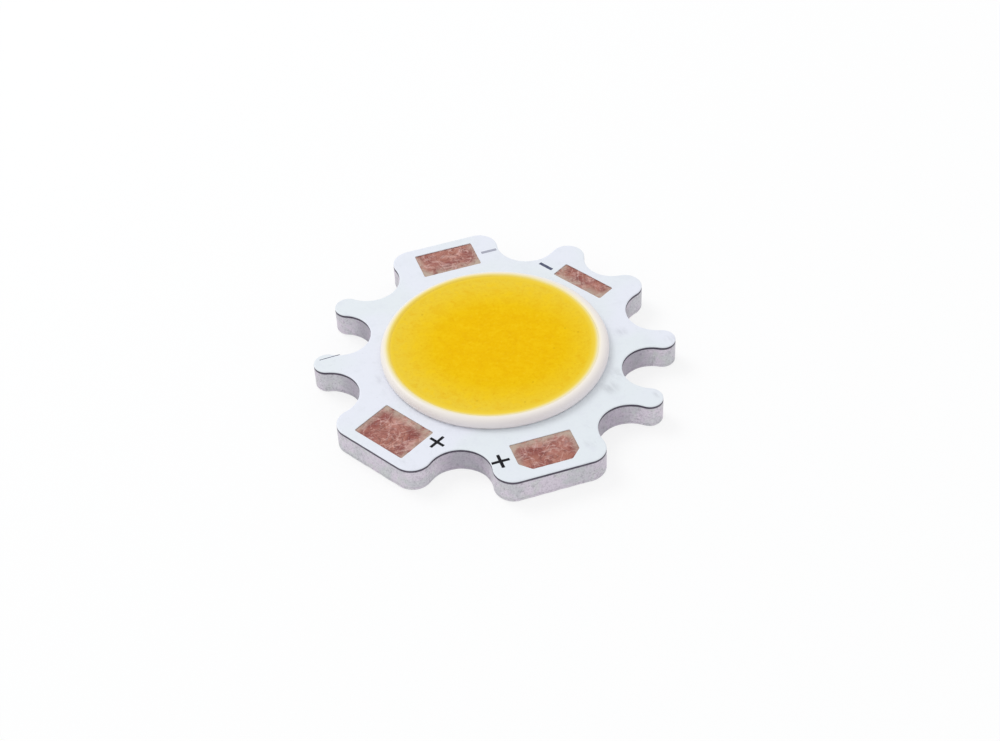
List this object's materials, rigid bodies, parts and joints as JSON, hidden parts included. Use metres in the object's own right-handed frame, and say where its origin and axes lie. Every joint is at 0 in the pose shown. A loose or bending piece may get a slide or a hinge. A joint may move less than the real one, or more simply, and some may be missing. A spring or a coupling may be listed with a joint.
{
  "type": "cob led",
  "caption": "Round chip-on-board LED on a notched aluminium-core board, with a yellow phosphor disc inside a white dam and bare copper solder pads.",
  "frame": {"origin": "centre of the board's underside, on the axis of the light-emitting disc", "axes": "+Z is the way the light leaves, the two screw notches lie on X, the anode pads are on the -Y side and the cathode pads on the +Y side"},
  "size_m": [0.0194, 0.0196, 0.0021],
  "materials": {
    "aluminium_base": "sheared edge, satin",
    "dielectric_film": "thin dark insulating film",
    "copper_foil": "bare dull copper foil, scuffed",
    "white_mask": "white solder mask, satin",
    "clear_adhesive": "clear cured adhesive",
    "led_die": "sapphire die, polished",
    "gold_wire": "drawn gold wire",
    "white_silicone": "dispensed white silicone bead, glossy",
    "phosphor_silicone": "yellow phosphor-filled silicone, satin gloss",
    "printed_ink": "black printed polarity marks"
  },
  "bodies": {
    "root": {"base_plate": "aluminium_base", "dielectric_layer": "dielectric_film", "anode_copper": "copper_foil", "cathode_copper": "copper_foil", "solder_mask": "white_mask", "die_attach": "clear_adhesive", "die_string_1": "led_die", "die_string_2": "led_die", "die_string_3": "led_die", "die_string_4": "led_die", "die_string_5": "led_die", "die_string_6": "led_die", "bond_wires_1": "gold_wire", "bond_wires_2": "gold_wire", "bond_wires_3": "gold_wire", "bond_wires_4": "gold_wire", "bond_wires_5": "gold_wire", "bond_wires_6": "gold_wire", "dam_ring": "white_silicone", "phosphor_gel": "phosphor_silicone"}
  },
  "joints": []
}
